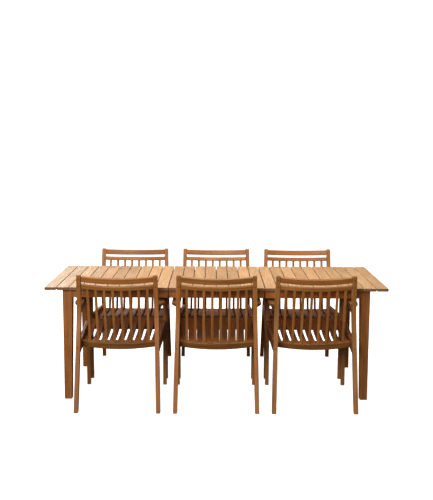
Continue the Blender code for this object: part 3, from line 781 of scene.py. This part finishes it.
def slat(place):
    """A slat that rises towards the front, its back end cut along the seat rail's curve."""
    def edge_x(y, edge):
        return place * slat_pitch(y) + edge * (slat_pitch(y) - SLAT_GAP) / 2

    back_z = SEAT_HEIGHT - SEAT_DROP - SLAT_THICKNESS / 2
    starts = [seat_rail_front_y(edge_x(BACK_Y, edge), back_z) + CURVED_FIT for edge in (-1, 1)]
    start = sum(starts) / 2
    stations = []
    for i in range(SLAT_STEPS + 1):
        y = start + (SLAT_FRONT_Y - start) * i / SLAT_STEPS
        middle = (place * slat_pitch(y), y, slat_top_z(y) - SLAT_THICKNESS / 2)
        stations.append((middle, (slat_pitch(y) - SLAT_GAP, SLAT_THICKNESS)))
    first = stations[0][0][0]
    step = (stations[1][0][1] - start) / 2
    pushes = [
        (lambda co: co.y < start + step and co.x < first, (0.0, starts[0] - start, 0.0)),
        (lambda co: co.y < start + step and co.x > first, (0.0, starts[1] - start, 0.0)),
    ]
    return timber("slat", "Y", stations, EASED_SLAT, pushes)


def side_rail(side):
    """From the rear leg to the front leg, rising forwards, its rear end cut to the leg's slope."""
    half = SIDE_RAIL_HEIGHT / 2
    rear_z = SEAT_HEIGHT - SIDE_RAIL_RISE - half
    rear = leg_front_y(rear_z) + CURVED_FIT
    front = FRONT_Y - FRONT_LEG_SIZE - FIT
    size = (SIDE_RAIL_THICKNESS, SIDE_RAIL_HEIGHT)
    stations = [
        ((side * side_rail_x(rear), rear, rear_z), size),
        ((side * side_rail_x(front), front, SEAT_HEIGHT - half), size),
    ]
    up = leg_front_y(rear_z + half) + CURVED_FIT - rear
    down = leg_front_y(rear_z - half) + CURVED_FIT - rear
    near_leg = (rear + front) / 2
    pushes = [
        (lambda co: co.y < near_leg and co.z > rear_z, (0.0, up, 0.0)),
        (lambda co: co.y < near_leg and co.z < rear_z, (0.0, down, 0.0)),
    ]
    return timber("side_rail", "Y", stations, EASED_RAIL, pushes)


def front_rail():
    front = FRONT_Y - FRONT_RAIL_SET_IN
    rear = FRONT_Y - FRONT_LEG_SIZE + FRONT_RAIL_SET_IN
    top = slat_top_z(front) - SLAT_THICKNESS
    reach = FRONT_LEG_X - FRONT_LEG_SIZE / 2 - FIT
    low = (-reach, rear, top + LET_IN - FRONT_RAIL_HEIGHT)
    return block("front_rail", "X", low, (reach, front, top), EASED_HIDDEN)


def bearer():
    middle = BACK_Y + BEARER_FORWARD
    top = slat_top_z(middle) - SLAT_THICKNESS
    half = BEARER_THICKNESS / 2
    reach = side_rail_inner_x(middle - half)
    low = (-reach, middle - half, top + LET_IN - BEARER_HEIGHT)
    return block("bearer", "X", low, (reach, middle + half, top), EASED_HIDDEN)


def plugs():
    """Plugs over the screws: in each rear leg behind its rails, and in each arm over its leg."""
    spots = []
    for side in (-1, 1):
        for v in (TOP_RAIL_V, SECOND_RAIL_V, 0.0):
            z = back_height(v)
            rise = (leg_middle_y(z + FIT) - leg_middle_y(z - FIT)) / (2 * FIT)
            y = leg_middle_y(z) - leg_depth(z) / 2
            spots.append(((side * leg_x(z), y, z), (math.pi / 2 - math.atan(rise), 0.0, 0.0)))
        over_leg = (side * FRONT_LEG_X, FRONT_Y - FRONT_LEG_SIZE / 2, ARM_TOP)
        spots.append((over_leg, (0.0, 0.0, 0.0)))
    return fasteners("plugs", spots, PLUG_RADIUS, PLUG_PROUD, PLUG_LENGTH)


def fasteners(name, spots, radius, proud, length, recess=0.0):
    """Round heads at the given places, as one piece: each is sunk to its length, less its rise."""
    bpy.ops.object.select_all(action="DESELECT")
    made = []
    for place, turn in spots:
        outwards = Euler(turn).to_matrix() @ Vector((0.0, 0.0, 1.0))
        middle = Vector(place) + outwards * (proud - length / 2)
        bpy.ops.mesh.primitive_cylinder_add(
            vertices=20, radius=radius, depth=length, location=middle, rotation=turn
        )
        head = bpy.context.object
        bpy.ops.object.transform_apply(location=True, rotation=True, scale=True)
        bpy.ops.object.mode_set(mode="EDIT")
        bpy.ops.mesh.select_mode(type="FACE")
        bpy.ops.mesh.select_all(action="DESELECT")
        bpy.ops.object.mode_set(mode="OBJECT")
        for face in head.data.polygons:
            face.select = face.normal.dot(outwards) > 0.9
        bpy.ops.object.mode_set(mode="EDIT")
        bpy.ops.mesh.inset(thickness=radius * 0.14, depth=radius * 0.06)
        if recess:
            bpy.ops.mesh.inset(thickness=radius * 0.42)
            bpy.ops.mesh.extrude_region_move(
                TRANSFORM_OT_translate={"value": outwards * -recess}
            )
        bpy.ops.mesh.select_mode(type="VERT")
        bpy.ops.object.mode_set(mode="OBJECT")
        made.append(head)
    for head in made:
        head.select_set(True)
    bpy.context.view_layer.objects.active = made[0]
    bpy.ops.object.join()
    bpy.ops.object.shade_smooth_by_angle(angle=math.radians(30))
    whole = bpy.context.object
    whole.name = name
    return whole


def chair_patterns():
    """(pattern, piece name, node, slot) of every piece of one chair."""
    made = []
    for side, hand in ((-1, "left"), (1, "right")):
        made.append((rear_leg(side), f"rear_leg_{hand}", f"rear_leg_{hand}", "chair_frame"))
        leg_node = f"front_leg_and_arm_{hand}"
        made.append((front_leg(side), f"front_leg_{hand}", leg_node, "chair_frame"))
        made.append((arm(side), f"arm_{hand}", leg_node, "chair_frame"))
        made.append((arm_rib(side), f"arm_rib_{hand}", leg_node, "chair_frame"))
        made.append((side_rail(side), f"side_rail_{hand}", "seat", "chair_seat"))
    made.append((top_rail(), "top_rail", "top_rail", "chair_back"))
    made.append((second_rail(), "second_rail", "back", "chair_back"))
    made.append((seat_rail(), "seat_rail", "back", "chair_back"))
    for i in range(SPINDLES):
        made.append((spindle(i - (SPINDLES - 1) / 2), f"spindle_{i + 1}", "back", "chair_back"))
    for i in range(SPINDLES + 1):
        made.append((slat(i - SPINDLES / 2), f"slat_{i + 1}", "seat", "chair_seat"))
    made.append((front_rail(), "front_rail", "seat", "chair_seat"))
    made.append((bearer(), "bearer", "seat", "chair_seat"))
    return made


def chairs():
    patterns = chair_patterns()
    plug_pattern = plugs()
    for row, facing in (("near", 1), ("far", -1)):
        for column, step in (("left", -1), ("middle", 0), ("right", 1)):
            chair = f"{row}_{column}_chair"
            turn = Matrix.Rotation(0.0 if facing > 0 else math.pi, 4, "Z")
            place = Matrix.Translation((step * CHAIR_X, -facing * CHAIR_Y, 0.0)) @ turn
            for pattern, name, node, slot in patterns:
                # painted shade: pieces listed above are drawn darker for the shade under the table
                shade = PAINTED_SHADE_BOARDS.get(name, 1.0)
                node = f"{chair}_{node}"
                set_out(pattern, f"{chair}_{name}", chair, node, slot, place, None, shade)
            node = f"{chair}_rear_leg_left"
            set_out(plug_pattern, f"{chair}_plugs", chair, node, "chair_frame", place, PLUG)
    for pattern, _, _, _ in patterns:
        drop(pattern)
    drop(plug_pattern)


# ---------------------------------------------------------------- the table's pieces
def deck(prefix, body, node, low_x, high_x, count):
    """Boards across the table with a gap between each two, copied from the first."""
    width = (high_x - low_x - (count - 1) * BOARD_GAP) / count
    low = (0.0, TABLE_LOW.y, BOARD_UNDERSIDE)
    pattern = block("board", "Y", low, (width, TABLE_HIGH.y, TABLE_HIGH.z), EASED_BOARD)
    for i in range(count):
        x = low_x + i * (width + BOARD_GAP)
        place = Matrix.Translation((x, 0.0, 0.0))
        set_out(pattern, f"{prefix}_board_{i + 1:02d}", body, node, "tabletop", place)
    drop(pattern)


def stick(name, body, node, slot, axis, low, high, easing=EASED_HIDDEN):
    """A straight piece that is used once."""
    pattern = block(name + "_pattern", axis, low, high, easing)
    made = set_out(pattern, name, body, node, slot)
    drop(pattern)
    return made


def battens(prefix, body, node, start, stop, height, through):
    """The bars under the boards: one on each side of both slide rails, and three flat ones."""
    numbers = iter(range(1, 5))
    for row in (-1, 1):
        for hand in (-1, 1):
            y = row * SLIDE_Y + hand * (SLIDE_HALF_SPACE - BATTEN_WIDTH / 2)
            low = (start, y - BATTEN_WIDTH / 2, BOARD_UNDERSIDE - height)
            high = (stop, y + BATTEN_WIDTH / 2, BOARD_UNDERSIDE - FIT)
            stick(f"{prefix}_slide_batten_{next(numbers)}", body, node, "tabletop", "X", low, high)
    for i in range(THROUGH_BATTENS):
        y = (i - (THROUGH_BATTENS - 1) / 2) * THROUGH_SPACING
        low = (through[0], y - THROUGH_WIDTH / 2, BOARD_UNDERSIDE - THROUGH_HEIGHT)
        high = (through[1], y + THROUGH_WIDTH / 2, BOARD_UNDERSIDE - FIT)
        stick(f"{prefix}_through_batten_{i + 1}", body, node, "tabletop", "X", low, high)


def keepers(prefix, body, node, side):
    """Straps that hold the slide rails up, each on four screws."""
    top = BOARD_UNDERSIDE - BATTEN_HEIGHT
    spots = []
    number = 0
    for along in (KEEPER_INSET, SLIDE_REACH - KEEPER_LENGTH):
        x = side * (TABLE_LOW.x + along)
        for row in (-1, 1):
            number += 1
            reach = SLIDE_HALF_SPACE - KEEPER_SHORT
            low = (x - KEEPER_LENGTH / 2, row * SLIDE_Y - reach, top + LET_IN - KEEPER_THICKNESS)
            high = (x + KEEPER_LENGTH / 2, row * SLIDE_Y + reach, top)
            stick(f"{prefix}_keeper_{number}", body, node, "tabletop", "Y", low, high)
            for hand in (-1, 1):
                y = row * SLIDE_Y + hand * (SLIDE_HALF_SPACE - BATTEN_WIDTH / 2)
                for step in (-1, 1):
                    spots.append(((x + step * KEEPER_LENGTH / 4, y, low[2]), (math.pi, 0.0, 0.0)))
    length, recess = SCREW_HEAD * 2, SCREW_HEAD * 0.6
    pattern = fasteners("screws", spots, SCREW_RADIUS, SCREW_HEAD, length, recess)
    set_out(pattern, f"{prefix}_keeper_screws", body, node, "table_frame", None, STEEL)
    drop(pattern)


def apron(name, body, axis, notches=False):
    """An apron rail where its node stands. An end apron is notched for the through battens."""
    low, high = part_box(name)
    pattern = block(name + "_pattern", axis, low, high, EASED_RAIL)
    if notches:
        for i in range(THROUGH_BATTENS):
            y = (i - (THROUGH_BATTENS - 1) / 2) * THROUGH_SPACING
            bottom = BOARD_UNDERSIDE - THROUGH_HEIGHT - NOTCH_CLEARANCE
            width = THROUGH_WIDTH + 2 * NOTCH_CLEARANCE
            bpy.ops.object.select_all(action="DESELECT")
            bpy.ops.mesh.primitive_cube_add(
                size=1.0, location=((low[0] + high[0]) / 2, y, bottom + width / 2),
                scale=(width, width, width),
            )
            cutter = bpy.context.object
            apply_modifier(pattern, "BOOLEAN", object=cutter, operation="DIFFERENCE")
            drop(cutter)
    set_out(pattern, name + "_rail", body, name, "table_frame")
    drop(pattern)


def table_leg(name, body, side, row):
    """Square down to the apron, then its two inner faces taper to the foot."""
    low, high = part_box(name)
    outer = Vector((high[0] if side > 0 else low[0], high[1] if row > 0 else low[1], 0.0))
    apron_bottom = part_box("end_apron_left")[0][2]
    stations = []
    heights = (0.0, apron_bottom, high[2])
    for z, size in zip(heights, (TABLE_LEG_FOOT, TABLE_LEG_TOP, TABLE_LEG_TOP)):
        place = (outer.x - side * size / 2, outer.y - row * size / 2, z)
        stations.append((place, (size, size)))
    pattern = timber(name + "_pattern", "Z", stations, EASED_LEG)
    set_out(pattern, name + "_post", body, name, "table_frame")
    drop(pattern)


def table():
    for side, hand in ((-1, "left"), (1, "right")):
        body = f"half_table_{hand}"
        node = f"half_top_{hand}"
        inner, outer = side * TABLE_LOW.x, side * TABLE_HIGH.x
        deck(hand, body, node, min(inner, outer), max(inner, outer), HALF_BOARDS)
        leg_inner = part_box("table_leg_near_right")[0][0]
        ends = sorted((inner, side * (leg_inner - BATTEN_END)))
        through = sorted((inner, outer - side * THROUGH_END))
        battens(hand, body, node, *ends, BATTEN_HEIGHT, through)
        keepers(hand, body, node, side)
        apron(f"end_apron_{hand}", body, "Y", notches=True)
        for row, line in ((-1, "near"), (1, "far")):
            apron(f"side_apron_{line}_{hand}", body, "X")
            table_leg(f"table_leg_{line}_{hand}", body, side, row)
    deck("leaf", "leaf", "leaf_top", LEAF_LOW.x, LEAF_HIGH.x, LEAF_BOARDS)
    end = LEAF_HIGH.x - LEAF_BATTEN_INSET
    battens("leaf", "leaf", "leaf_top", -end, end, LEAF_BATTEN_HEIGHT, (-end, end))
    for line in ("near", "far"):
        apron(f"leaf_apron_{line}", "leaf", "X")
        rail = f"slide_rail_{line}"
        low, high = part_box(rail)
        stick(rail + "_bar", "slide_frame", rail, "table_frame", "X", low, high)
    low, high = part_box("slide_cross_bar")
    stick("slide_cross_bar_strap", "slide_frame", "slide_cross_bar", "table_frame", "Y", low, high)


take_camera()
studio()
bpy.ops.object.select_all(action="DESELECT")
CHAIR_TEAK = oiled_teak("oiled_teak_chair_frame", "#C8863E", "#824A17", "#A85B21", 0.50)
WOODS = {
    "tabletop": oiled_teak("oiled_teak_tabletop", "#DDB27E", "#A97A48", "#CB9260", 0.55),
    "table_frame": oiled_teak("oiled_teak_table_frame", "#C47B32", "#844815", "#A9581C", 0.50),
    "chair_frame": CHAIR_TEAK,
    "chair_back": oiled_teak("oiled_teak_chair_back", "#C8863E", "#7E4616", "#A85B21", 0.50),
    # painted shade: the seat's teak is drawn darker and redder than the chair frame's, for the
    # shade it sits in under the table
    "chair_seat": oiled_teak("oiled_teak_chair_seat", "#B87032", "#6E3610", "#9C4E1B", 0.52),
}
PLUG = plug_teak()
STEEL = screw_steel()
table()
chairs()
